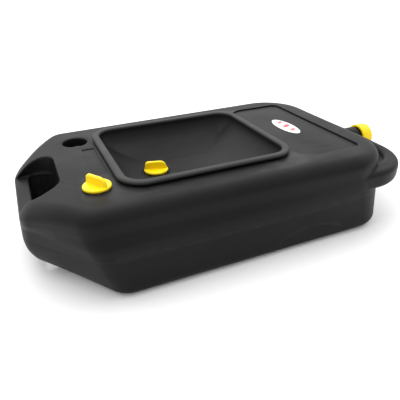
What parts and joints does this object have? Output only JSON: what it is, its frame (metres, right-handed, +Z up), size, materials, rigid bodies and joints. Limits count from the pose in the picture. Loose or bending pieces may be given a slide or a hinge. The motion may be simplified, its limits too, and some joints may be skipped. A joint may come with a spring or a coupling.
{
  "type": "oil drain pan",
  "caption": "Low black tank with a dished catch basin, winged yellow screw plugs, a hand slot at the nose, and a capped pouring spout inside a loop handle.",
  "frame": {"origin": "on the floor, below the middle of the whole object from the nose tip to the cap", "axes": "+X runs from the nose to the spout, +Z is up, and the XZ plane is the middle of the tank"},
  "size_m": [0.6324, 0.3354, 0.1434],
  "materials": {
    "black_plastic": "fine-grained matte",
    "yellow_plastic": "satin",
    "seal_rubber": "matte",
    "white_foam": "closed-cell foam",
    "sticker_vinyl": "printed vinyl"
  },
  "bodies": {
    "tank": {"tank_upper_shell": "black_plastic", "tank_lower_shell": "black_plastic", "basin_tray": "black_plastic", "oval_sticker": "sticker_vinyl", "basin_drain_bush": "black_plastic", "vent_bush": "black_plastic", "spout_neck": "black_plastic"},
    "basin_plug_carrier": {"basin_plug_seal": "seal_rubber"},
    "basin_plug": {"basin_plug": "yellow_plastic"},
    "vent_plug_carrier": {"vent_plug_seal": "seal_rubber"},
    "vent_plug": {"vent_plug": "yellow_plastic"},
    "spout_cap_carrier": {"spout_cap_liner": "white_foam"},
    "spout_cap": {"spout_cap": "yellow_plastic"}
  },
  "joints": [
    {"name": "basin_plug_travel", "type": "slide", "parent": "tank", "child": "basin_plug_carrier", "axis": [0, 0, 1], "range_m": [0, 0.015]},
    {"name": "basin_plug_turn", "type": "hinge", "parent": "basin_plug_carrier", "child": "basin_plug", "pos_m": [-0.10775, 0, 0.09], "axis": [0, 0, 1], "range_deg": [0, 1080]},
    {"name": "vent_plug_travel", "type": "slide", "parent": "tank", "child": "vent_plug_carrier", "axis": [0, 0, 1], "range_m": [0, 0.015]},
    {"name": "vent_plug_turn", "type": "hinge", "parent": "vent_plug_carrier", "child": "vent_plug", "pos_m": [-0.21425, -0.088, 0.126], "axis": [0, 0, 1], "range_deg": [0, 1080]},
    {"name": "spout_cap_travel", "type": "slide", "parent": "tank", "child": "spout_cap_carrier", "axis": [1, 0, 0], "range_m": [0, 0.015]},
    {"name": "spout_cap_turn", "type": "hinge", "parent": "spout_cap_carrier", "child": "spout_cap", "pos_m": [0.3, 0, 0.081], "axis": [1, 0, 0], "range_deg": [0, 1080]}
  ],
  "couplings": [
    {"joint": "basin_plug_turn", "follows": "basin_plug_travel", "rad_per_m": 1256.6},
    {"joint": "vent_plug_turn", "follows": "vent_plug_travel", "rad_per_m": 1256.6},
    {"joint": "spout_cap_turn", "follows": "spout_cap_travel", "rad_per_m": 1256.6}
  ]
}
